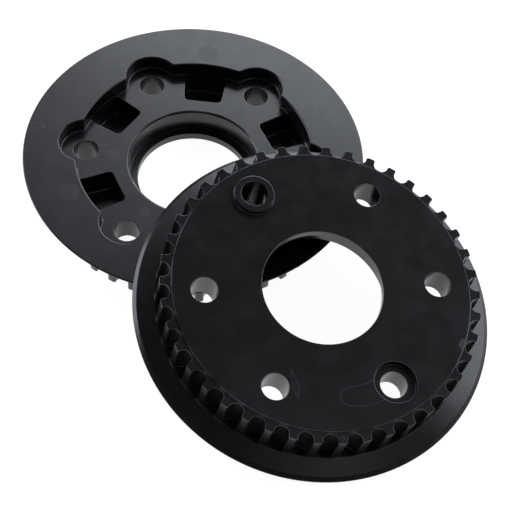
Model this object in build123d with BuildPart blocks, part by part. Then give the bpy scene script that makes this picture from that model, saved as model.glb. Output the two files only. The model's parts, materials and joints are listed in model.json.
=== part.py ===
from build123d import *
import os
from math import atan, cos, hypot, pi, radians, sin, sqrt

# Timing belt pulley in two moulded halves, lying apart on a flat surface.
#
# The halves are the same piece: half of the belt teeth, one belt flange, a web with six
# bolt holes and a lipped centre bore. Turned over, one half closes on the other face to
# face, with its locating boss in the other's counterbore and a flange at each end.
#
# Shared frame: millimetres, +Z up from the surface, origin on the surface under the
# middle of the pair. A half's own frame, its seat, has its origin in the middle of the
# mating face, +Z out of that face and +X towards the locating boss.

# ---- Belt teeth: round-bottomed grooves for a 5 mm pitch belt ----
tooth_count = 42
belt_pitch = 5.0
pitch_line_offset = 0.5715      # from the tooth tips out to the belt's pitch line
groove_depth = 2.06
groove_radius = 1.49
tooth_tip_round = 0.43

# ---- Thicknesses along the axis of a half ----
half_thickness = 10.5
flange_thickness = 1.9          # at the tooth tips
tooth_step = 0.4                # tooth ends below the mating face
lip_thickness = 1.8             # lip of the bore, behind the mating face
pocket_floor = 1.7              # wall left between a pocket and the mating face
recess_depth = 3.3

# ---- Flange ----
flange_height = 4.45            # beyond the tooth tips
flange_fall = 0.95              # how far the belt side falls away towards the rim
rim_bevel_width = 0.8
rim_bevel_fall = 0.65
rim_back_round = 0.3

# ---- Web, recess and pockets ----
face_margin = 0.29              # mating face inside the groove bottoms
face_edge_round = 0.15
recess_margin = 1.9             # recess wall outside the bolt circle
lobe_radius = 5.75              # recess round each bolt hole
lobe_blend = 1.0
recess_edge_round = 0.35
recess_foot_round = 0.4
hub_wall = 3.45                 # wide bore to the pockets
pocket_inner_width = 8.3
pocket_spread = 0.08            # each side's slope away from the middle line
pocket_corner = 1.0
pocket_foot_round = 0.6

# ---- Bores and holes ----
lip_bore_diameter = 24.8
hub_bore_diameter = 28.6
hub_bore_chamfer = 0.35
lip_edge_round = 0.2
bolt_circle_diameter = 48.0
bolt_count = 6
bolt_hole_diameter = 5.5

# ---- Locating boss and its counterbore ----
boss_diameter = 8.5
boss_height = 1.1
boss_edge_round = 0.3
locating_clearance = 0.05       # round the boss, on the radius
seating_clearance = 0.4         # past the end of the boss

# ---- Ejector pin marks ----
flange_mark_diameter = 5.0
flange_mark_margin = 3.5        # middle of a mark outside the recess wall
floor_mark_diameter = 3.0
mark_depth = 0.06

# ---- How the halves lie: bearings in degrees from +X, anticlockwise seen from above ----
flanges_apart = 45.9            # between the middles of the two backs, along the surface
front_bearing = -56.2           # from the rear half to the front half
rear_boss_bearing = 55.2
front_boss_bearing = 127.2
rear_rock = 30.0                # from the rear boss to the way the rear mating face leans
front_lean_bearing = -58.7      # the way the front mating face leans
leaning_clearance = 0.1         # midway between the two places where the halves cross

# ---- Values that follow from those above ----
tip_radius = tooth_count * belt_pitch / (2 * pi) - pitch_line_offset
root_radius = tip_radius - groove_depth
face_radius = root_radius - face_margin
flange_radius = tip_radius + flange_height
bolt_circle_radius = bolt_circle_diameter / 2
bolt_angle = 360 / bolt_count
recess_radius = bolt_circle_radius + recess_margin
pocket_inner_radius = hub_bore_diameter / 2 + hub_wall
flange_mark_radius = recess_radius + flange_mark_margin
floor_mark_radius = (hub_bore_diameter / 2 + bolt_circle_radius - bolt_hole_diameter / 2) / 2
boss_radius = boss_diameter / 2
counterbore_diameter = boss_diameter + 2 * locating_clearance
counterbore_depth = boss_height + seating_clearance
flange_start = half_thickness - flange_thickness
rim_bevel_start = flange_start + flange_fall
rim_widest = rim_bevel_start + rim_bevel_fall
recess_floor = half_thickness - recess_depth


def on_the_tips(point):
    """Whether a point of the tooth section is at a tooth tip."""
    return hypot(point.X, point.Y) > tip_radius - groove_depth / 10


def tooth_section():
    """Cross-section of the toothed ring, with a groove on the boss's side."""
    with BuildSketch() as section:
        Circle(tip_radius)
        with PolarLocations(root_radius + groove_radius, tooth_count):
            Circle(groove_radius, mode=Mode.SUBTRACT)
            Rectangle(2 * groove_radius, 2 * groove_radius, align=(Align.MIN, Align.CENTER),
                      mode=Mode.SUBTRACT)
        fillet(section.vertices().filter_by(on_the_tips), tooth_tip_round)
    return section.sketch


def recess_section():
    """Outline of the recess in the back: a circle with a lobe round each bolt hole."""
    with BuildSketch() as section:
        Circle(recess_radius)
        with PolarLocations(bolt_circle_radius, bolt_count):
            Circle(lobe_radius)
        fillet(section.vertices(), lobe_blend)
    return section.sketch


def pocket_section():
    """One pocket on the +X side, its outer side on the recess wall."""
    length = recess_radius - pocket_inner_radius
    inner_half = pocket_inner_width / 2
    outer_half = inner_half + pocket_spread * length
    with BuildSketch() as section:
        with BuildLine():
            Polyline((pocket_inner_radius, inner_half), (recess_radius, outer_half),
                     (recess_radius, -outer_half), (pocket_inner_radius, -inner_half), close=True)
        make_face()
        Circle(recess_radius, mode=Mode.INTERSECT)
        fillet(section.vertices(), pocket_corner)
    return section.sketch


def flange_profile():
    """Half section of the flange, radius across and height over the mating face up."""
    with BuildSketch() as profile:
        with BuildLine():
            Polyline((0, -flange_start), (tip_radius, -flange_start),
                     (flange_radius - rim_bevel_width, -rim_bevel_start), (flange_radius, -rim_widest),
                     (flange_radius, -half_thickness), (0, -half_thickness), close=True)
        make_face()
        fillet(profile.vertices().group_by(Axis.X)[-1].sort_by(Axis.Y)[0], rim_back_round)
    return profile.sketch


def edges_at(shape, seat, height, inner, outer):
    """Edges of a shape at one height over its seat, with their middles between two radii."""
    def there(edge):
        places = [seat.to_local_coords(edge @ share) for share in (0, 0.5)]
        level = all(abs(place.Z - height) < mark_depth / 10 for place in places)
        return level and inner < hypot(places[1].X, places[1].Y) < outer
    return shape.edges().filter_by(there)


def mould_half(seat):
    """One half of the pulley with its mating face in the seat plane."""
    axis = Axis(seat.origin, seat.z_dir)
    upright = Plane(seat.origin, x_dir=seat.x_dir, z_dir=-seat.y_dir)
    back = seat.offset(-half_thickness)
    floor = seat.offset(-recess_floor)
    with BuildPart() as half:
        # Mating face, teeth and flange
        with BuildSketch(seat):
            Circle(face_radius)
        extrude(amount=-tooth_step)
        fillet(edges_at(half, seat, 0, 0, tip_radius), face_edge_round)
        with BuildSketch(seat.offset(-tooth_step)):
            add(tooth_section())
        extrude(amount=tooth_step - flange_start)
        with BuildSketch(upright):
            add(flange_profile())
        revolve(axis=axis)
        # Recess in the back
        with BuildSketch(back):
            add(recess_section())
        extrude(amount=recess_depth, mode=Mode.SUBTRACT)
        outline = (recess_radius - lobe_blend, recess_radius + lobe_radius)
        fillet(edges_at(half, seat, -recess_floor, *outline), recess_foot_round)
        fillet(edges_at(half, seat, -half_thickness, *outline), recess_edge_round)
        # Centre bore, wide behind its lip
        with BuildSketch(back):
            Circle(hub_bore_diameter / 2)
        extrude(amount=half_thickness - lip_thickness, mode=Mode.SUBTRACT)
        with BuildSketch(back):
            Circle(lip_bore_diameter / 2)
        extrude(amount=half_thickness, mode=Mode.SUBTRACT)
        chamfer(edges_at(half, seat, -recess_floor, 0, pocket_inner_radius), hub_bore_chamfer)
        fillet(edges_at(half, seat, 0, 0, pocket_inner_radius), lip_edge_round)
        # Pockets between the bolt holes
        with BuildSketch(floor):
            with PolarLocations(0, bolt_count, start_angle=bolt_angle / 2):
                add(pocket_section())
        extrude(amount=recess_floor - pocket_floor, mode=Mode.SUBTRACT)
        pocket_feet = edges_at(half, seat, -pocket_floor, pocket_inner_radius - pocket_corner, tip_radius)
        fillet(pocket_feet, pocket_foot_round)
        # Locating boss and, across the bore, its counterbore
        with BuildSketch(seat):
            with Locations((bolt_circle_radius, 0)):
                Circle(boss_radius)
        extrude(amount=boss_height)
        fillet(edges_at(half, seat, boss_height, 0, flange_radius), boss_edge_round)
        with BuildSketch(seat):
            with Locations((-bolt_circle_radius, 0)):
                Circle(counterbore_diameter / 2)
        extrude(amount=-counterbore_depth, mode=Mode.SUBTRACT)
        # Bolt holes
        with BuildSketch(back):
            with PolarLocations(bolt_circle_radius, bolt_count):
                Circle(bolt_hole_diameter / 2)
        extrude(amount=half_thickness + boss_height, mode=Mode.SUBTRACT)
        # Ejector pin marks on the flange and on the recess floor
        with BuildSketch(back):
            with PolarLocations(flange_mark_radius, bolt_count, start_angle=bolt_angle / 2):
                Circle(flange_mark_diameter / 2)
        extrude(amount=mark_depth, mode=Mode.SUBTRACT)
        with BuildSketch(floor):
            with PolarLocations(floor_mark_radius, bolt_count):
                Circle(floor_mark_diameter / 2)
        extrude(amount=mark_depth, mode=Mode.SUBTRACT)
    return half


def heading(bearing):
    """Level direction at a bearing."""
    return Vector(cos(radians(bearing)), sin(radians(bearing)), 0)


def leaning_seat(back_centre, facing, lean_bearing, lean, boss_bearing):
    """Seat over a back centre, facing up (1) or down (-1) and leaning to a bearing."""
    normal = heading(lean_bearing) * sin(lean) + Vector(0, 0, facing * cos(lean))
    level = heading(boss_bearing)
    towards_boss = level - Vector(0, 0, level.dot(normal) / normal.Z)
    return Plane(back_centre + normal * half_thickness, x_dir=towards_boss, z_dir=normal)


def rear_seat():
    """Seat of the rear half, face down on its boss and on one side of its mating face."""
    face_reach = face_radius - face_edge_round
    boss_reach = bolt_circle_radius * cos(radians(rear_rock)) - boss_radius + boss_edge_round
    lean = atan(boss_height / (face_reach + boss_reach))
    back_height = face_reach * sin(lean) + half_thickness * cos(lean)
    lean_bearing = rear_boss_bearing + rear_rock
    return leaning_seat(Vector(0, 0, back_height), -1, lean_bearing, lean, rear_boss_bearing)


def front_seat(rear):
    """Seat of the front half, its rim on the surface and its back over the rear half's rim."""
    rear_back = rear.origin - rear.z_dir * half_thickness
    towards_front = heading(front_bearing)
    rest_radius = flange_radius - rim_back_round
    # Where the rear half's rim passes under the front half's recess edge
    recess_edge = recess_radius + recess_edge_round
    crossing = (recess_edge ** 2 - rest_radius ** 2 + flanges_apart ** 2) / (2 * flanges_apart)
    along = towards_front * (flanges_apart - crossing)
    rise = rear_back.Z - rear.z_dir.dot(along) / rear.z_dir.Z + leaning_clearance
    slope = rise / (rest_radius + crossing)
    lean = atan(rise / (rest_radius * cos(atan(slope)) + crossing))
    back_height = rest_radius * sin(lean) + rim_back_round * (1 - cos(lean))
    back_centre = Vector(rear_back.X, rear_back.Y, back_height) + towards_front * flanges_apart
    return leaning_seat(back_centre, 1, front_lean_bearing, lean, front_boss_bearing)


def rim_reach(seat, direction):
    """Nearest and farthest place of a half's widest circle along a level direction."""
    middle = (seat.origin - seat.z_dir * rim_widest).dot(direction)
    spread = flange_radius * sqrt(1 - seat.z_dir.dot(direction) ** 2)
    return middle - spread, middle + spread


def middle_of(seats, direction):
    """Middle of the seated halves along a level direction."""
    places = [place for seat in seats for place in rim_reach(seat, direction)]
    return (min(places) + max(places)) / 2


def moved_to_middle(seats):
    """The seats, moved along the surface so that the pair stands over the origin."""
    middle = Vector(middle_of(seats, Vector(1, 0, 0)), middle_of(seats, Vector(0, 1, 0)), 0)
    return [Plane(seat.origin - middle, x_dir=seat.x_dir, z_dir=seat.z_dir) for seat in seats]


rear_place = rear_seat()
rear_place, front_place = moved_to_middle([rear_place, front_seat(rear_place)])

rear_half = mould_half(rear_place)
rear_half.part.label = "rear_half"

front_half = mould_half(front_place)
front_half.part.label = "front_half"

os.makedirs("parts", exist_ok=True)
export_step(rear_half.part, "parts/rear_half.step")
export_step(front_half.part, "parts/front_half.step")
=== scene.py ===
import json
import logging
import math
from dataclasses import dataclass
from enum import Enum
from typing import Any, Callable, Iterable, Sequence

import bpy
from mathutils import Matrix, Vector


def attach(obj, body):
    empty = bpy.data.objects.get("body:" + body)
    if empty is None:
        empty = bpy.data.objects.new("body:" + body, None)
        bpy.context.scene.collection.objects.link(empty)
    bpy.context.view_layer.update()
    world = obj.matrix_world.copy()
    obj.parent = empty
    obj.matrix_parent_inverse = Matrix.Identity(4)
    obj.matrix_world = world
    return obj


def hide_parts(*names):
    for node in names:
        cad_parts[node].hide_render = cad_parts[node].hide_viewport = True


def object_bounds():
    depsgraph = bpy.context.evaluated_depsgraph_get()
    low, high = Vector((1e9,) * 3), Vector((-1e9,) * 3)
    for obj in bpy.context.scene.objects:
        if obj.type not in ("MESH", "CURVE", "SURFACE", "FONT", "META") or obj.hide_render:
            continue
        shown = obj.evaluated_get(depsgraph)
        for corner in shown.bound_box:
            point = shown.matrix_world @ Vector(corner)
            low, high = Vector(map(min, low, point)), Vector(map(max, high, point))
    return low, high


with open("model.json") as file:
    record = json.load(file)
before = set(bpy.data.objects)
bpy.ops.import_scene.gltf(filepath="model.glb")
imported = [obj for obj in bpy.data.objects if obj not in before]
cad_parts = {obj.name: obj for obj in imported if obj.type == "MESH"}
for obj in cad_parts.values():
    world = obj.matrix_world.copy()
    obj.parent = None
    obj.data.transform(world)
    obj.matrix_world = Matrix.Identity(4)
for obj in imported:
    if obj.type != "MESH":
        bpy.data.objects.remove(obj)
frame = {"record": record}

# A two-part timing belt pulley of black moulded nylon. Both halves are one moulding: it is
# modelled once, in millimetres, in the half's own frame (origin in the middle of the mating
# face, +Z out of that face, +X towards the locating boss), and a copy is seated on each body.

LOG = logging.getLogger("pulley")
MM = 0.001
CAD_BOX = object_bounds()

Point = tuple[float, float]


class Operation(Enum):
    """How one solid acts on another."""

    JOIN = "UNION"
    CUT = "DIFFERENCE"


class Area(Enum):
    """The material slots of a moulding."""

    SKIN = 0
    # Edge rounds, in a lighter copy of the nylon: painted highlight along the edges, with a little wear.
    EDGE = 1
    PIN = 2


# ---- Selecting and editing ----


def select_only(*objects: bpy.types.Object) -> None:
    """Selects these objects alone and makes the first one active.

    Args:
        objects: what to select.
    """
    bpy.ops.object.select_all(action="DESELECT")
    for piece in objects:
        piece.select_set(True)
    bpy.context.view_layer.objects.active = objects[0]


def edit(piece: bpy.types.Object, *steps: Callable[[], Any]) -> None:
    """Runs steps in edit mode on one object.

    Args:
        piece: the object to edit.
        steps: what to do, in order.
    """
    select_only(piece)
    bpy.ops.object.mode_set(mode="EDIT")
    for step in steps:
        step()
    bpy.ops.object.mode_set(mode="OBJECT")


def select_edges(piece: bpy.types.Object, wanted: Callable[[Vector, Vector], bool]) -> None:
    """Selects the edges whose two ends pass a test, and nothing else.

    Args:
        piece: the object, in object mode.
        wanted: the test, given both ends of an edge.
    """
    edit(piece, lambda: bpy.ops.mesh.select_mode(type="EDGE"), lambda: bpy.ops.mesh.select_all(action="DESELECT"))
    mesh = piece.data
    for edge in mesh.edges:
        low, high = (mesh.vertices[index].co for index in edge.vertices)
        edge.select = wanted(low, high)


def round_edges(piece: bpy.types.Object, width: float, steps: int, wanted: Callable[[Vector, Vector], bool]) -> None:
    """Rounds the edges that pass a test.

    Args:
        piece: the object to round.
        width: how far the round reaches from the edge.
        steps: faces across the round.
        wanted: the test, given both ends of an edge.
    """
    select_edges(piece, wanted)
    edit(piece, lambda: bpy.ops.mesh.bevel(offset=width, segments=steps, affect="EDGES", clamp_overlap=False))


def face_outwards() -> None:
    """Merges what coincides and turns every face of the mesh in edit mode outwards."""
    bpy.ops.mesh.select_all(action="SELECT")
    bpy.ops.mesh.remove_doubles(threshold=1e-5)
    bpy.ops.mesh.normals_make_consistent(inside=False)


def apply_modifier(piece: bpy.types.Object, kind: str, **settings: Any) -> None:
    """Adds a modifier, sets it and applies it.

    Args:
        piece: the object to change.
        kind: the modifier's type.
        settings: its settings by name.
    """
    modifier = piece.modifiers.new(kind.lower(), kind)
    for name, value in settings.items():
        setattr(modifier, name, value)
    select_only(piece)
    bpy.ops.object.modifier_apply(modifier=modifier.name)


def combine(piece: bpy.types.Object, tool: bpy.types.Object, operation: Operation) -> None:
    """Joins a solid to a piece or cuts it away, and removes the solid.

    Args:
        piece: what is kept.
        tool: the solid that is used up.
        operation: whether it is joined or cut away.
    """
    apply_modifier(piece, "BOOLEAN", object=tool, operation=operation.value, solver="EXACT")
    bpy.data.objects.remove(tool)


def as_one(pieces: Sequence[bpy.types.Object]) -> bpy.types.Object:
    """Puts solids that don't touch into one object.

    Args:
        pieces: the solids.

    Returns:
        The object that holds them all.
    """
    select_only(*pieces)
    bpy.ops.object.join()
    return pieces[0]


# ---- Outlines and simple solids ----


def arc(centre: Point, radius: float, start: float, end: float, steps: int) -> list[Point]:
    """Points along an arc, both ends included.

    Args:
        centre: the arc's middle.
        radius: its radius.
        start: bearing of its first point, in degrees.
        end: bearing of its last point, in degrees.
        steps: how many chords it has.

    Returns:
        The points in order.
    """
    bearings = [math.radians(start + (end - start) * step / steps) for step in range(steps + 1)]
    return [(centre[0] + radius * math.cos(a), centre[1] + radius * math.sin(a)) for a in bearings]


def turned(points: Iterable[Point], bearing: float) -> list[Point]:
    """Points turned about the axis.

    Args:
        points: what to turn.
        bearing: the turn in degrees.

    Returns:
        The turned points.
    """
    c, s = math.cos(math.radians(bearing)), math.sin(math.radians(bearing))
    return [(x * c - y * s, x * s + y * c) for x, y in points]


def rounded(corners: Sequence[Point], radii: Sequence[float], steps: int) -> list[Point]:
    """A closed outline with its corners rounded.

    Args:
        corners: the corners in order.
        radii: the radius at each, or 0 to keep it sharp.
        steps: chords in each round.

    Returns:
        The outline's points.
    """
    outline: list[Point] = []
    for index, (corner, radius) in enumerate(zip(corners, radii)):
        here = Vector(corner)
        if not radius:
            outline.append(corner)
            continue
        before = (Vector(corners[index - 1]) - here).normalized()
        after = (Vector(corners[(index + 1) % len(corners)]) - here).normalized()
        half_angle = before.angle(after) / 2
        middle = here + (before + after).normalized() * (radius / math.sin(half_angle))
        first = here + before * (radius / math.tan(half_angle)) - middle
        last = here + after * (radius / math.tan(half_angle)) - middle
        for step in range(steps + 1):
            blend = first.slerp(last, step / steps)
            outline.append(tuple(middle + blend.normalized() * radius))
    return outline


def prism(name: str, outline: Sequence[Point], low: float, high: float) -> bpy.types.Object:
    """A solid with one outline from a low to a high level.

    Args:
        name: the object's name.
        outline: its points in order.
        low: its lower level.
        high: its upper level.

    Returns:
        The solid.
    """
    mesh = bpy.data.meshes.new(name)
    mesh.from_pydata([(x, y, low) for x, y in outline], [], [tuple(range(len(outline)))])
    solid = bpy.data.objects.new(name, mesh)
    bpy.context.scene.collection.objects.link(solid)
    rise = {"value": (0, 0, high - low)}
    edit(
        solid,
        lambda: bpy.ops.mesh.select_all(action="SELECT"),
        lambda: bpy.ops.mesh.extrude_region_move(TRANSFORM_OT_translate=rise),
        face_outwards,
    )
    return solid


def turning(name: str, profile: Sequence[Point], steps: int) -> bpy.types.Object:
    """A solid turned about the axis from a profile that starts and ends on it.

    Args:
        name: the object's name.
        profile: radius and level of each point.
        steps: faces round the axis.

    Returns:
        The solid.
    """
    mesh = bpy.data.meshes.new(name)
    rims = [(index, index + 1) for index in range(len(profile) - 1)]
    mesh.from_pydata([(radius, 0, level) for radius, level in profile], rims, [])
    solid = bpy.data.objects.new(name, mesh)
    bpy.context.scene.collection.objects.link(solid)
    edit(
        solid,
        lambda: bpy.ops.mesh.select_all(action="SELECT"),
        lambda: bpy.ops.mesh.spin(steps=steps, angle=2 * math.pi, center=(0, 0, 0), axis=(0, 0, 1)),
        face_outwards,
    )
    return solid


def drum(name: str, radius: float, middle: Point, low: float, high: float, sides: int) -> bpy.types.Object:
    """A cylinder that stands along the axis.

    Args:
        name: the object's name.
        radius: its radius.
        middle: where its own axis is.
        low: its lower level.
        high: its upper level.
        sides: how many side faces it has.

    Returns:
        The cylinder, with its place in its mesh.
    """
    bpy.ops.object.select_all(action="DESELECT")
    place = (middle[0], middle[1], (low + high) / 2)
    bpy.ops.mesh.primitive_cylinder_add(vertices=sides, radius=radius, depth=high - low, location=place)
    solid = bpy.context.object
    solid.name = name
    bpy.ops.object.transform_apply(location=True, rotation=True, scale=True)
    return solid


def polar(radius: float, bearing: float) -> Point:
    """The point at a radius and a bearing in degrees."""
    return radius * math.cos(math.radians(bearing)), radius * math.sin(math.radians(bearing))


def at_level(level: float) -> Callable[[Vector, Vector], bool]:
    """A test for edges that lie at one level."""
    return lambda low, high: abs(low.z - level) < 1e-3 and abs(high.z - level) < 1e-3


# ---- Where each half is seated ----


@dataclass(frozen=True)
class Seat:
    """A half's own frame in the shared frame, with the sizes that its mounts state."""

    placing: Matrix
    floor_depth: float
    lip_radius: float
    hub_radius: float
    bolt_circle_radius: float
    bolt_hole_radius: float
    bolt_count: int

    @classmethod
    def of(cls, side: str, lip_edge: float) -> "Seat":
        """Reads a half's mounts.

        Args:
            side: the body's name.
            lip_edge: how far the lip bore's wall starts behind the mating face.

        Returns:
            The seat, with its sizes in millimetres.
        """
        mounts = {mount["name"]: mount for mount in frame["record"]["mounts"]}
        lip, hub = mounts[f"{side}_lip_bore"], mounts[f"{side}_hub_bore"]
        bolts, pads = mounts[f"{side}_bolts"], mounts[f"{side}_bolt_pads"]
        out = Vector(lip["axis"]).normalized()
        face = Vector(lip["pos_m"]) + out * (lip["dims"]["length_mm"] / 2 + lip_edge) * MM
        reach = Vector(pads["pos_m"]) - face
        across = reach - out * reach.dot(out)
        axes = (across.normalized(), out.cross(across).normalized(), out)
        placing = Matrix.Translation(face) @ Matrix(axes).transposed().to_4x4() @ Matrix.Scale(MM, 4)
        return cls(
            placing=placing,
            floor_depth=-reach.dot(out) / MM,
            lip_radius=lip["dims"]["r_mm"],
            hub_radius=hub["dims"]["r_mm"],
            bolt_circle_radius=bolts["dims"]["pcd_mm"] / 2,
            bolt_hole_radius=bolts["dims"]["hole_r_mm"],
            bolt_count=bolts["dims"]["count"],
        )


# ---- Finishes ----


def linear(colour: str) -> tuple[float, float, float, float]:
    """The linear colour of an sRGB hex value such as "#1a1a1c"."""
    parts = [int(colour[place:place + 2], 16) / 255 for place in (1, 3, 5)]
    red, green, blue = (c / 12.92 if c <= 0.04045 else ((c + 0.055) / 1.055) ** 2.4 for c in parts)
    return red, green, blue, 1.0


def add_node(tree: bpy.types.NodeTree, kind: str, settings: dict[str, Any], links: dict[str, Any]) -> bpy.types.Node:
    """Adds one node to a material.

    Args:
        tree: the material's node tree.
        kind: the node's type.
        settings: its properties, and input values where the name is an input's.
        links: output sockets to connect, by the name of the input.

    Returns:
        The node.
    """
    node = tree.nodes.new(kind)
    for name, value in settings.items():
        if hasattr(node, name):
            setattr(node, name, value)
        else:
            node.inputs[name].default_value = value
    for name, output in links.items():
        tree.links.new(output, node.inputs[name])
    return node


@dataclass(frozen=True)
class MouldedNylon:
    """Black glass-filled nylon, injection moulded against a fine-blasted steel tool.

    The glass fibres leave a faint grey marbling where the melt flowed, and the tool's finish
    gives a satin sheen that breaks up a little from place to place.
    """

    name: str = "moulded_glass_filled_nylon"
    deep: str = "#121213"
    marbled: str = "#18181a"
    ior: float = 1.5
    flow_mm: float = 14.0
    cloud_mm: float = 4.5
    grain_mm: float = 0.35
    grain_depth_mm: float = 0.006
    smooth: float = 0.22
    rough: float = 0.28
    scuff: str = "#38383b"
    line_mm: float = 24.0
    line_share: float = 0.005
    melt_shift: tuple[float, float, float] = (0.0, 0.0, 0.0)
    line_roughness: float = 0.08

    def flow_lines(self, tree: bpy.types.NodeTree, place: bpy.types.NodeSocket) -> bpy.types.NodeSocket:
        """Thin pale lines where two fronts of the melt met, in a few places only.

        Args:
            tree: the material's node tree.
            place: the position socket.

        Returns:
            The socket that is 1 on a line and 0 off it.
        """
        melt = add_node(tree, "ShaderNodeMapping", {"Location": self.melt_shift}, {"Vector": place}).outputs["Vector"]
        fronts = add_node(tree, "ShaderNodeTexNoise", {"Scale": 1 / (self.line_mm * MM), "Detail": 1.0,
                                                       "Distortion": 1.6}, {"Vector": melt})
        where = add_node(tree, "ShaderNodeTexNoise", {"Scale": 1 / (2 * self.line_mm * MM), "Detail": 1.0},
                         {"Vector": melt})
        near = add_node(tree, "ShaderNodeMath", {"operation": "COMPARE"}, {})
        near.inputs[1].default_value = 0.5
        near.inputs[2].default_value = self.line_share
        tree.links.new(fronts.outputs["Fac"], near.inputs[0])
        shown = add_node(tree, "ShaderNodeMapRange", {"From Min": 0.54, "From Max": 0.66},
                         {"Value": where.outputs["Fac"]})
        both = add_node(tree, "ShaderNodeMath", {"operation": "MULTIPLY"}, {})
        tree.links.new(near.outputs["Value"], both.inputs[0])
        tree.links.new(shown.outputs["Result"], both.inputs[1])
        return both.outputs["Value"]

    def material(self) -> bpy.types.Material:
        """Builds the material.

        Returns:
            The material, with its patterns at real size.
        """
        made = bpy.data.materials.new(self.name)
        made.use_nodes = True
        tree = made.node_tree
        shader = tree.nodes["Principled BSDF"]
        shader.inputs["IOR"].default_value = self.ior
        place = add_node(tree, "ShaderNodeTexCoord", {}, {}).outputs["Object"]
        flow = add_node(tree, "ShaderNodeTexNoise", {"Scale": 1 / (self.flow_mm * MM), "Detail": 5.0, "Distortion": 1.8},
                        {"Vector": place})
        cloud = add_node(tree, "ShaderNodeTexNoise", {"Scale": 1 / (self.cloud_mm * MM), "Detail": 3.0},
                         {"Vector": place})
        grain = add_node(tree, "ShaderNodeTexNoise", {"Scale": 1 / (self.grain_mm * MM), "Detail": 2.0},
                         {"Vector": place})
        marbling = add_node(tree, "ShaderNodeMapRange", {"From Min": 0.42, "From Max": 0.68}, {"Value": flow.outputs["Fac"]})
        colour = add_node(tree, "ShaderNodeMix", {"data_type": "RGBA"}, {})
        colour.inputs[6].default_value = linear(self.deep)
        colour.inputs[7].default_value = linear(self.marbled)
        tree.links.new(marbling.outputs["Result"], colour.inputs[0])
        sheen = add_node(tree, "ShaderNodeMapRange", {"From Min": 0.3, "From Max": 0.7, "To Min": self.smooth,
                                                      "To Max": self.rough}, {"Value": cloud.outputs["Fac"]})
        lines = self.flow_lines(tree, place)
        scuffed = add_node(tree, "ShaderNodeMath", {"operation": "MULTIPLY_ADD"}, {})
        scuffed.inputs[1].default_value = self.line_roughness
        tree.links.new(lines, scuffed.inputs[0])
        tree.links.new(sheen.outputs["Result"], scuffed.inputs[2])
        tree.links.new(scuffed.outputs["Value"], shader.inputs["Roughness"])
        streak = add_node(tree, "ShaderNodeMix", {"data_type": "RGBA"}, {})
        streak.inputs[7].default_value = linear(self.scuff)
        tree.links.new(lines, streak.inputs[0])
        tree.links.new(colour.outputs[2], streak.inputs[6])
        tree.links.new(streak.outputs[2], shader.inputs["Base Color"])
        bump = add_node(tree, "ShaderNodeBump", {"Strength": 0.6, "Distance": self.grain_depth_mm * MM},
                        {"Height": grain.outputs["Fac"]})
        tree.links.new(bump.outputs["Normal"], shader.inputs["Normal"])
        return made


@dataclass(frozen=True)
class StudioPaper:
    """White paper sweep, lit until it is almost clear of shadow."""

    name: str = "white_paper"
    colour: str = "#949494"
    light: str = "#ffffff"
    glow: float = 0.95

    def material(self) -> bpy.types.Material:
        """Builds the material.

        Returns:
            The material.
        """
        made = bpy.data.materials.new(self.name)
        made.use_nodes = True
        shader = made.node_tree.nodes["Principled BSDF"]
        shader.inputs["Base Color"].default_value = linear(self.colour)
        shader.inputs["Roughness"].default_value = 1.0
        shader.inputs["Specular IOR Level"].default_value = 0.0
        shader.inputs["Emission Color"].default_value = linear(self.light)
        shader.inputs["Emission Strength"].default_value = self.glow
        return made


# ---- The pulley ----


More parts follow.
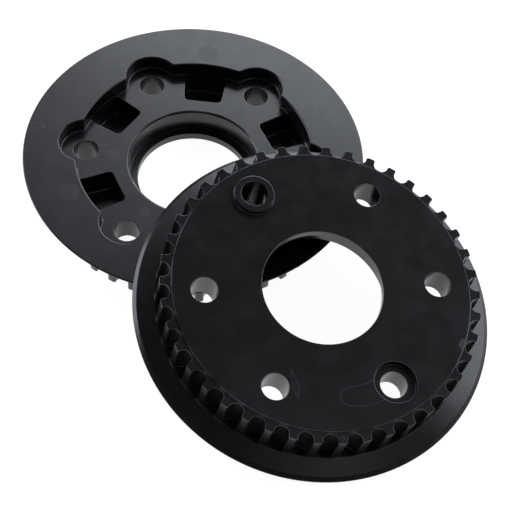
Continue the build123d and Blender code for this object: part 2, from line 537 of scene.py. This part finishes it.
@dataclass
class PulleyHalf:
    """One half of the pulley, in millimetres in its own frame."""

    seat: Seat
    name: str
    # Teeth
    tooth_count: int = 42
    belt_pitch: float = 5.0
    pitch_line_offset: float = 0.5715
    groove_depth: float = 2.06
    groove_radius: float = 1.49
    tooth_tip_round: float = 0.43
    tooth_step: float = 0.4
    # Flange
    flange_thickness: float = 1.9
    flange_height: float = 4.45
    flange_fall: float = 0.95
    rim_bevel_width: float = 0.8
    rim_bevel_fall: float = 0.65
    rim_back_round: float = 0.3
    foot_round: float = 0.25
    crease: float = 0.08
    # Web, recess and pockets
    face_margin: float = 0.29
    lip_thickness: float = 1.8
    recess_depth: float = 3.3
    recess_margin: float = 1.9
    lobe_radius: float = 5.75
    lobe_blend: float = 1.0
    recess_edge_round: float = 0.35
    recess_foot_round: float = 0.4
    hub_wall: float = 3.45
    hub_chamfer: float = 0.35
    pocket_width: float = 8.3
    pocket_spread: float = 0.08
    pocket_corner: float = 1.0
    pocket_floor: float = 1.7
    pocket_foot_round: float = 0.6
    # Locating boss and counterbore
    boss_radius: float = 4.25
    boss_height: float = 1.1
    boss_round: float = 0.3
    counterbore_radius: float = 4.3
    counterbore_depth: float = 1.5
    # Marks of the ejector pins
    flange_mark_radius: float = 2.5
    flange_mark_margin: float = 3.5
    floor_mark_radius: float = 1.5
    mark_depth: float = 0.06
    mark_slope: float = 2.0
    # Edges
    edge_round: float = 0.13
    edge_angle: float = math.radians(32)
    overlap: float = 1.0

    @property
    def tip_radius(self) -> float:
        """Radius over the teeth, which is inside the belt's pitch line."""
        return self.tooth_count * self.belt_pitch / (2 * math.pi) - self.pitch_line_offset

    @property
    def root_radius(self) -> float:
        """Radius of the groove bottoms."""
        return self.tip_radius - self.groove_depth

    @property
    def thickness(self) -> float:
        """From the mating face to the back of the flange."""
        return self.seat.floor_depth + self.recess_depth

    @property
    def recess_radius(self) -> float:
        """Radius of the recess wall between its lobes."""
        return self.seat.bolt_circle_radius + self.recess_margin

    @property
    def recess_level(self) -> float:
        """Level of the recess floor."""
        return -self.seat.floor_depth

    @property
    def flange_level(self) -> float:
        """Level of the flange's belt side at the teeth."""
        return self.flange_thickness - self.thickness

    @property
    def bearings(self) -> list[float]:
        """Bearings of the bolt holes."""
        return [360 / self.seat.bolt_count * index for index in range(self.seat.bolt_count)]

    @property
    def between(self) -> list[float]:
        """Bearings midway between the bolt holes."""
        return [bearing + 180 / self.seat.bolt_count for bearing in self.bearings]

    def tooth_outline(self) -> list[Point]:
        """Outline of the toothed ring, with a groove at the boss's bearing."""
        tip = self.tip_radius
        middle = self.root_radius + self.groove_radius
        round_side = self.groove_radius + self.tooth_tip_round
        round_middle = math.sqrt((tip - self.tooth_tip_round) ** 2 - round_side ** 2)
        lean = math.degrees(math.atan2(round_side, round_middle))
        near = arc((round_middle, -round_side), self.tooth_tip_round, -lean, 90, 7)
        bottom = arc((middle, 0), self.groove_radius, 270, 90, 16)
        far = arc((round_middle, round_side), self.tooth_tip_round, -90, lean, 7)
        pitch = 360 / self.tooth_count
        crest = [polar(tip, pitch / 2)]
        return [point for index in range(self.tooth_count) for point in turned(near + bottom + far + crest, index * pitch)]

    def recess_outline(self) -> list[Point]:
        """Outline of the recess: a circle with a blended lobe round each bolt hole."""
        wall, lobe, blend = self.recess_radius, self.lobe_radius, self.lobe_blend
        apart = self.seat.bolt_circle_radius
        cosine = ((wall + blend) ** 2 + apart ** 2 - (lobe + blend) ** 2) / (2 * (wall + blend) * apart)
        turn = math.degrees(math.acos(cosine))
        across, along = polar(wall + blend, turn)
        lobe_turn = math.degrees(math.atan2(along, across - apart))
        near = arc((across, -along), blend, 180 - turn, 180 - lobe_turn, 5)
        middle = arc((apart, 0), lobe, -lobe_turn, lobe_turn, 24)
        far = arc((across, along), blend, 180 + lobe_turn, 180 + turn, 5)
        pitch = 360 / self.seat.bolt_count
        wall_arc = arc((0, 0), wall, turn, pitch - turn, 16)
        one = near[:-1] + middle + far[1:-1] + wall_arc[:-1]
        return [point for bearing in self.bearings for point in turned(one, bearing)]

    def pocket_outline(self) -> list[Point]:
        """Outline of one pocket on the +X side."""
        inner = self.seat.hub_radius + self.hub_wall
        outer = self.recess_radius - self.mark_depth
        inner_half = self.pocket_width / 2
        outer_half = inner_half + self.pocket_spread * (outer - inner)
        turn = math.degrees(math.asin(outer_half / outer))
        side = arc((0, 0), outer, -turn, turn, 6)
        corners = [(inner, -inner_half), *side, (inner, inner_half)]
        radii = [self.pocket_corner] * 2 + [0.0] * 5 + [self.pocket_corner] * 2
        return rounded(corners, radii, 5)

    def toothed_disc(self) -> bpy.types.Object:
        """The teeth, down into the flange."""
        return prism("toothed_disc", self.tooth_outline(), self.flange_level - self.overlap, -self.tooth_step)

    def flange(self) -> bpy.types.Object:
        """The flange, with a shallow cone on the belt side and a bevelled rim."""
        tip, foot = self.tip_radius, self.foot_round
        rim = tip + self.flange_height
        slope = self.flange_fall / (self.flange_height - self.rim_bevel_width)
        bevel_level = self.flange_level - self.flange_fall
        back = arc((rim - self.rim_back_round, self.rim_back_round - self.thickness), self.rim_back_round, 0, -90, 4)
        bevel_start = rim - self.rim_bevel_width
        steep = self.rim_bevel_fall / self.rim_bevel_width
        profile = [(0, self.flange_level), (tip - foot, self.flange_level), (tip, self.flange_level - foot * slope / 4),
                   (tip + foot, self.flange_level - foot * slope), (bevel_start - self.crease, bevel_level + self.crease * slope),
                   (bevel_start + self.crease, bevel_level - self.crease * steep),
                   (rim, bevel_level - self.rim_bevel_fall), *back, (0, -self.thickness)]
        return turning("flange", profile, 4 * self.tooth_count)

    def raised_face(self) -> bpy.types.Object:
        """The disc of the mating face, a step above the tooth ends."""
        return drum("raised_face", self.root_radius - self.face_margin, (0, 0), -self.overlap, 0, 4 * self.tooth_count)

    def boss(self) -> bpy.types.Object:
        """The locating boss, its end rounded."""
        middle = (self.seat.bolt_circle_radius, 0)
        boss = drum("boss", self.boss_radius, middle, -self.overlap, self.boss_height, 64)
        round_edges(boss, self.boss_round, 4, at_level(self.boss_height))
        return boss

    def recess(self) -> bpy.types.Object:
        """What is cut from the back to make the recess."""
        recess = prism("recess", self.recess_outline(), -self.thickness - self.overlap, self.recess_level)
        round_edges(recess, self.recess_foot_round, 3, at_level(self.recess_level))
        return recess

    def bore(self) -> bpy.types.Object:
        """What is cut for the lipped bore."""
        lip, hub, chamfer = self.seat.lip_radius, self.seat.hub_radius, self.hub_chamfer
        back = -self.thickness - self.overlap
        profile = [(0, self.overlap), (lip, self.overlap), (lip, -self.lip_thickness), (hub, -self.lip_thickness),
                   (hub, self.recess_level + chamfer), (hub + chamfer, self.recess_level), (hub + chamfer, back), (0, back)]
        return turning("bore", profile, 128)

    def pockets(self) -> list[bpy.types.Object]:
        """What is cut for the pockets, each with a rounded foot."""
        outline = self.pocket_outline()
        low = self.recess_level - self.overlap
        pockets = [prism("pocket", turned(outline, bearing), low, -self.pocket_floor) for bearing in self.between]
        for pocket in pockets:
            round_edges(pocket, self.pocket_foot_round, 4, at_level(-self.pocket_floor))
        return pockets

    def counterbore(self) -> bpy.types.Object:
        """What is cut opposite the boss, to take the other half's boss."""
        middle = (-self.seat.bolt_circle_radius, 0)
        return drum("counterbore", self.counterbore_radius, middle, -self.counterbore_depth, self.overlap, 64)

    def bolt_holes(self) -> bpy.types.Object:
        """What is drilled for the bolts."""
        low, high = -self.thickness, self.boss_height + self.overlap
        places = [polar(self.seat.bolt_circle_radius, bearing) for bearing in self.bearings]
        return as_one([drum("bolt_hole", self.seat.bolt_hole_radius, place, low, high, 48) for place in places])

    def pin_marks(self) -> bpy.types.Object:
        """What the ejector pins leave on the flange and on the recess floor."""
        flange_ring = self.recess_radius + self.flange_mark_margin
        floor_ring = (self.seat.hub_radius + self.seat.bolt_circle_radius - self.seat.bolt_hole_radius) / 2
        back, floor = -self.thickness, self.recess_level
        marks = [self.pin_mark(self.flange_mark_radius, polar(flange_ring, bearing), back) for bearing in self.between]
        marks += [self.pin_mark(self.floor_mark_radius, polar(floor_ring, bearing), floor) for bearing in self.bearings]
        return as_one(marks)

    def pin_mark(self, radius: float, middle: Point, level: float) -> bpy.types.Object:
        """What one ejector pin leaves: a shallow dish with a sloping side.

        Args:
            radius: of the dish at the surface.
            middle: its place.
            level: of the surface, which faces down.

        Returns:
            The solid to cut away.
        """
        bpy.ops.mesh.primitive_cone_add(
            vertices=48,
            radius1=radius + self.mark_slope * self.overlap,
            radius2=radius - self.mark_slope * self.mark_depth,
            depth=self.overlap + self.mark_depth,
            location=(*middle, level + (self.mark_depth - self.overlap) / 2),
        )
        bpy.ops.object.transform_apply()
        return bpy.context.object

    def on_recess_edge(self, low: Vector, high: Vector) -> bool:
        """Whether an edge is on the outline of the recess in the back."""
        reach = (low.xy + high.xy).length / 2
        level = at_level(-self.thickness)(low, high)
        return level and self.recess_radius - self.edge_round < reach < self.tip_radius

    def build(self, finishes: Sequence[bpy.types.Material]) -> bpy.types.Object:
        """Builds the half in its own frame.

        Args:
            finishes: its materials, in the order of Area.

        Returns:
            The finished moulding, in millimetres.
        """
        half = self.toothed_disc()
        half.name = self.name
        for solid in (self.flange(), self.raised_face(), self.boss()):
            combine(half, solid, Operation.JOIN)
        combine(half, self.recess(), Operation.CUT)
        edit(half, lambda: bpy.ops.mesh.select_all(action="SELECT"), lambda: bpy.ops.mesh.dissolve_limited(angle_limit=0.001))
        round_edges(half, self.recess_edge_round, 3, self.on_recess_edge)
        combine(half, as_one([self.bore(), *self.pockets(), self.counterbore()]), Operation.CUT)
        combine(half, self.bolt_holes(), Operation.CUT)
        combine(half, self.pin_marks(), Operation.CUT)
        edit(half, lambda: bpy.ops.mesh.select_all(action="SELECT"), lambda: bpy.ops.mesh.dissolve_limited(angle_limit=0.001))
        for finish in finishes:
            half.data.materials.append(finish)
        self.round_edges_with_wear_and_highlight(half)
        self.mark_pins(half)
        edit(half, face_outwards)
        select_only(half)
        bpy.ops.object.shade_smooth_by_angle(angle=math.radians(40))
        apply_modifier(half, "WEIGHTED_NORMAL", keep_sharp=True, weight=80)
        return half

    def round_edges_with_wear_and_highlight(self, half: bpy.types.Object) -> None:
        """Rounds every sharp edge a little and gives the round a lighter, glossier copy of the nylon: a painted
        highlight along each edge, with a little rubbing wear.

        Args:
            half: the moulding, with its materials.
        """
        apply_modifier(half, "BEVEL", width=self.edge_round, segments=2, limit_method="ANGLE",
                       angle_limit=self.edge_angle, use_clamp_overlap=False, material=Area.EDGE.value)

    def mark_pins(self, half: bpy.types.Object) -> None:
        """Puts the pins' finish on the floors of the ejector marks.

        Args:
            half: the moulding, with its materials.
        """
        levels = [self.mark_depth - self.thickness, self.mark_depth + self.recess_level]
        for face in half.data.polygons:
            marked = any(abs(face.center.z - level) < self.mark_depth / 4 for level in levels)
            if marked and abs(face.normal.z) > math.cos(self.edge_angle):
                face.material_index = Area.PIN.value


def seat_half(half: bpy.types.Object, seat: Seat, body: str, node: str) -> None:
    """Puts a moulding in its seat, on its body, in place of its CAD node.

    Args:
        half: the moulding, in millimetres in its own frame.
        seat: where it goes.
        body: the body it rides on.
        node: the CAD node that it stands for.
    """
    half.data.transform(seat.placing)
    half.data.update()
    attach(half, body)
    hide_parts(node)
    LOG.info("%s: %d faces on body %s", half.name, len(half.data.polygons), body)


# ---- The studio ----


@dataclass(frozen=True)
class SoftBox:
    """A square light that faces the middle of the pulley."""

    name: str
    bearing: float
    elevation: float
    distance: float
    width: float
    height: float
    radiance: float
    colour: str = "#f0f5ff"

    def place(self, target: Vector) -> None:
        """Sets the light up.

        Args:
            target: what it faces.
        """
        light = bpy.data.lights.new(self.name, "AREA")
        light.shape = "RECTANGLE"
        light.size, light.size_y = self.width, self.height
        light.energy = self.radiance * math.pi * self.width * self.height
        light.color = linear(self.colour)[:3]
        lamp = bpy.data.objects.new(self.name, light)
        bpy.context.scene.collection.objects.link(lamp)
        level = math.cos(math.radians(self.elevation))
        across, along = polar(level, self.bearing)
        away = Vector((across, along, math.sin(math.radians(self.elevation))))
        lamp.matrix_world = Matrix.Translation(target + away * self.distance) @ away.to_track_quat("Z", "Y").to_matrix().to_4x4()


@dataclass(frozen=True)
class Camera:
    """The camera: where it looks from and how far it is turned about its own axis."""

    aim: Point = (1.6 * MM, -0.8 * MM)
    bearing: float = 4.70
    elevation: float = 53.15
    roll: float = 5.9
    distance: float = 0.3100
    lens: float = 100.0
    sensor: float = 36.0

    def place(self, target: Vector) -> None:
        """Sets the camera up and makes it the scene's.

        Args:
            target: the middle of the pulley's footprint.
        """
        look = bpy.data.cameras.new("camera")
        look.lens, look.sensor_width = self.lens, self.sensor
        look.clip_start = self.distance / 10
        camera = bpy.data.objects.new("camera", look)
        bpy.context.scene.collection.objects.link(camera)
        level = math.cos(math.radians(self.elevation))
        away = Vector((-level * math.sin(math.radians(self.bearing)), -level * math.cos(math.radians(self.bearing)),
                       math.sin(math.radians(self.elevation))))
        turn = away.to_track_quat("Z", "Y").to_matrix().to_4x4() @ Matrix.Rotation(math.radians(self.roll), 4, "Z")
        point = target + Vector((*self.aim, 0))
        camera.matrix_world = Matrix.Translation(point + away * self.distance) @ turn
        bpy.context.scene.camera = camera


@dataclass(frozen=True)
class Studio:
    """White paper floor, soft boxes and a dim room."""

    floor_size: float = 4.0
    room: float = 0.075
    boxes: tuple[SoftBox, ...] = (
        SoftBox("right_box", bearing=22, elevation=36, distance=1.2, width=0.8, height=0.55, radiance=3.8),
        SoftBox("back_box", bearing=73, elevation=30, distance=1.2, width=0.9, height=0.85, radiance=4.4),
        SoftBox("back_fill", bearing=104, elevation=42, distance=1.25, width=1.5, height=0.8, radiance=0.5),
        SoftBox("left_box", bearing=156, elevation=24, distance=1.2, width=0.8, height=0.55, radiance=4.5),
        SoftBox("top_fill", bearing=-25, elevation=66, distance=1.2, width=0.6, height=0.5, radiance=0.6),
    )

    def place(self, target: Vector) -> None:
        """Sets the studio up.

        Args:
            target: the middle of the pulley's footprint.
        """
        bpy.ops.object.select_all(action="DESELECT")
        bpy.ops.mesh.primitive_plane_add(size=self.floor_size, location=target)
        floor = bpy.context.object
        floor.name = "floor"
        floor.data.materials.append(StudioPaper().material())
        for box in self.boxes:
            box.place(target)
        world = bpy.data.worlds.new("room")
        world.use_nodes = True
        world.node_tree.nodes["Background"].inputs["Color"].default_value = (self.room, self.room, self.room, 1)
        bpy.context.scene.world = world
        bpy.context.scene.view_settings.view_transform = "Standard"


def main() -> None:
    """Builds the pulley and the studio."""
    logging.basicConfig(level=logging.INFO)
    nylon = MouldedNylon().material()
    # Lighter, glossier nylon for the edge rounds: painted highlight along every edge, with a little wear.
    edge_wear_and_highlight = MouldedNylon(name="nylon_at_edges_wear_and_painted_highlight", deep="#1c1c1e", marbled="#5e5e62", smooth=0.16, rough=0.3).material()
    pinned = MouldedNylon(name="nylon_at_ejector_pins", marbled="#202023", smooth=0.28, rough=0.34).material()
    lip_edge = 0.2
    rear_seat, front_seat = Seat.of("rear", lip_edge), Seat.of("front", lip_edge)
    front = PulleyHalf(seat=front_seat, name="front_moulding").build((nylon, edge_wear_and_highlight, pinned))
    rear = front.copy()
    rear.data = front.data.copy()
    rear.name = "rear_moulding"
    bpy.context.scene.collection.objects.link(rear)
    seat_half(front, front_seat, "front", "front_half")
    seat_half(rear, rear_seat, "rear", "rear_half")
    low, high = (Vector(corner) for corner in CAD_BOX)
    footprint = Vector(((low.x + high.x) / 2, (low.y + high.y) / 2, low.z))
    Studio().place(footprint)
    Camera().place(footprint)


if __name__ == "__main__":
    main()
